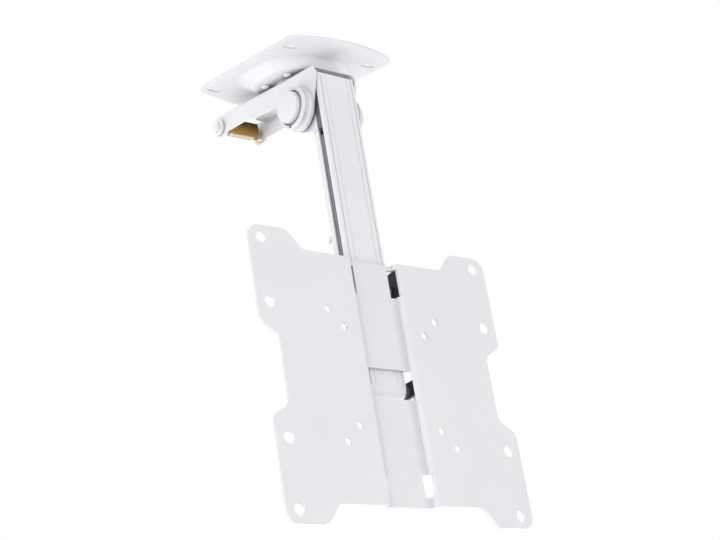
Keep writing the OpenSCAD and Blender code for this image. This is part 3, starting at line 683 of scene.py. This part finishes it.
class MOUNT_OT_stage(bpy.types.Operator):
    """Pale floor, soft lamps, world and the camera"""

    bl_idname = "mount.stage"
    bl_label = "Floor, lamps and camera"

    def execute(self, context):
        scene = context.scene
        self.lay_floor(context)
        for name, spot, size, power in LAMPS:
            data = bpy.data.lights.new("lamp_" + name, "AREA")
            data.shape = "DISK"
            data.size = size
            data.energy = power
            lamp = bpy.data.objects.new("lamp_" + name, data)
            lamp.location = spot
            lamp.rotation_mode = "QUATERNION"
            lamp.rotation_quaternion = (Vector(AIM) - Vector(spot)).to_track_quat("-Z", "Y")
            scene.collection.objects.link(lamp)
        scene.world = self.make_world()
        scene.view_settings.view_transform = "Standard"

        data = bpy.data.cameras.new("photo_camera")
        data.sensor_width = 36.0
        data.lens = CAMERA_LENS
        data.clip_start = 0.05
        data.clip_end = 50.0
        camera = bpy.data.objects.new("photo_camera", data)
        look = Vector(CAMERA_LOOK).normalized()
        side = look.cross(Vector(CAMERA_UP)).normalized()
        turn = Matrix((side, side.cross(look), -look)).transposed().to_4x4()
        camera.matrix_world = Matrix.Translation(CAMERA_SPOT) @ turn
        scene.collection.objects.link(camera)
        scene.camera = camera
        return {"FINISHED"}

    def lay_floor(self, context):
        bpy.ops.object.select_all(action="DESELECT")
        drop = context.scene.mount_sizes.floor_drop
        bpy.ops.mesh.primitive_plane_add(size=FLOOR_SIDE, location=(0, 0, -drop))
        floor = context.active_object
        floor.name = "studio_floor"
        material, tree, place = start_material("matt_white_studio_floor")
        cloud = noise(tree, place, scale=3.0, detail=2.0)
        tone = blend(tree, cloud, colour("#F3F3F4"), colour("#F0F0F1"))
        close_material(tree, {"Base Color": tone, "Roughness": 0.9})
        floor.data.materials.append(material)

    def make_world(self):
        """White where it is seen or mirrored, dimmer and a little bluer where it only lights."""
        world = bpy.data.worlds.new("soft_white_room")
        world.use_nodes = True
        tree = world.node_tree
        tree.nodes.clear()
        path = node(tree, "ShaderNodeLightPath")
        seen = path.outputs["Is Camera Ray"]
        for ray in ("Is Glossy Ray", "Is Transmission Ray"):
            seen = node(tree, "ShaderNodeMath", {0: seen, 1: path.outputs[ray]},
                        operation="MAXIMUM").outputs[0]
        back = node(tree, "ShaderNodeBackground", {
            "Color": blend(tree, seen, colour("#FCFCFF"), (1.0, 1.0, 1.0, 1.0)),
            "Strength": spread(tree, seen, ROOM_LIGHT, 1.0)})
        out = node(tree, "ShaderNodeOutputWorld")
        tree.links.new(back.outputs["Background"], out.inputs["Surface"])
        return world


class MOUNT_PT_panel(bpy.types.Panel):
    """Lists the steps that dress the mount"""

    bl_idname = "MOUNT_PT_panel"
    bl_label = "Ceiling mount"
    bl_space_type = "VIEW_3D"
    bl_region_type = "UI"
    bl_category = "Ceiling mount"

    def draw(self, context):
        column = self.layout.column()
        for step in STEPS:
            column.operator(step.bl_idname, text=step.bl_label)
        for group in (context.scene.mount_sizes, context.scene.mount_colours):
            for name in group.__annotations__:
                column.prop(group, name)


STEPS = (MOUNT_OT_cad_finishes, MOUNT_OT_ceiling_plate, MOUNT_OT_hubs, MOUNT_OT_caps,
         MOUNT_OT_catch, MOUNT_OT_stage)
CLASSES = (MountSizes, MountColours) + STEPS + (MOUNT_PT_panel,)


def register():
    for cls in CLASSES:
        bpy.utils.register_class(cls)
    bpy.types.Scene.mount_sizes = PointerProperty(type=MountSizes)
    bpy.types.Scene.mount_colours = PointerProperty(type=MountColours)


def unregister():
    del bpy.types.Scene.mount_colours
    del bpy.types.Scene.mount_sizes
    for cls in reversed(CLASSES):
        bpy.utils.unregister_class(cls)


def main():
    register()
    for step in STEPS:
        area, name = step.bl_idname.split(".")
        if getattr(getattr(bpy.ops, area), name)() != {"FINISHED"}:
            raise RuntimeError(step.bl_idname + " did not finish")


if __name__ == "__main__":
    main()
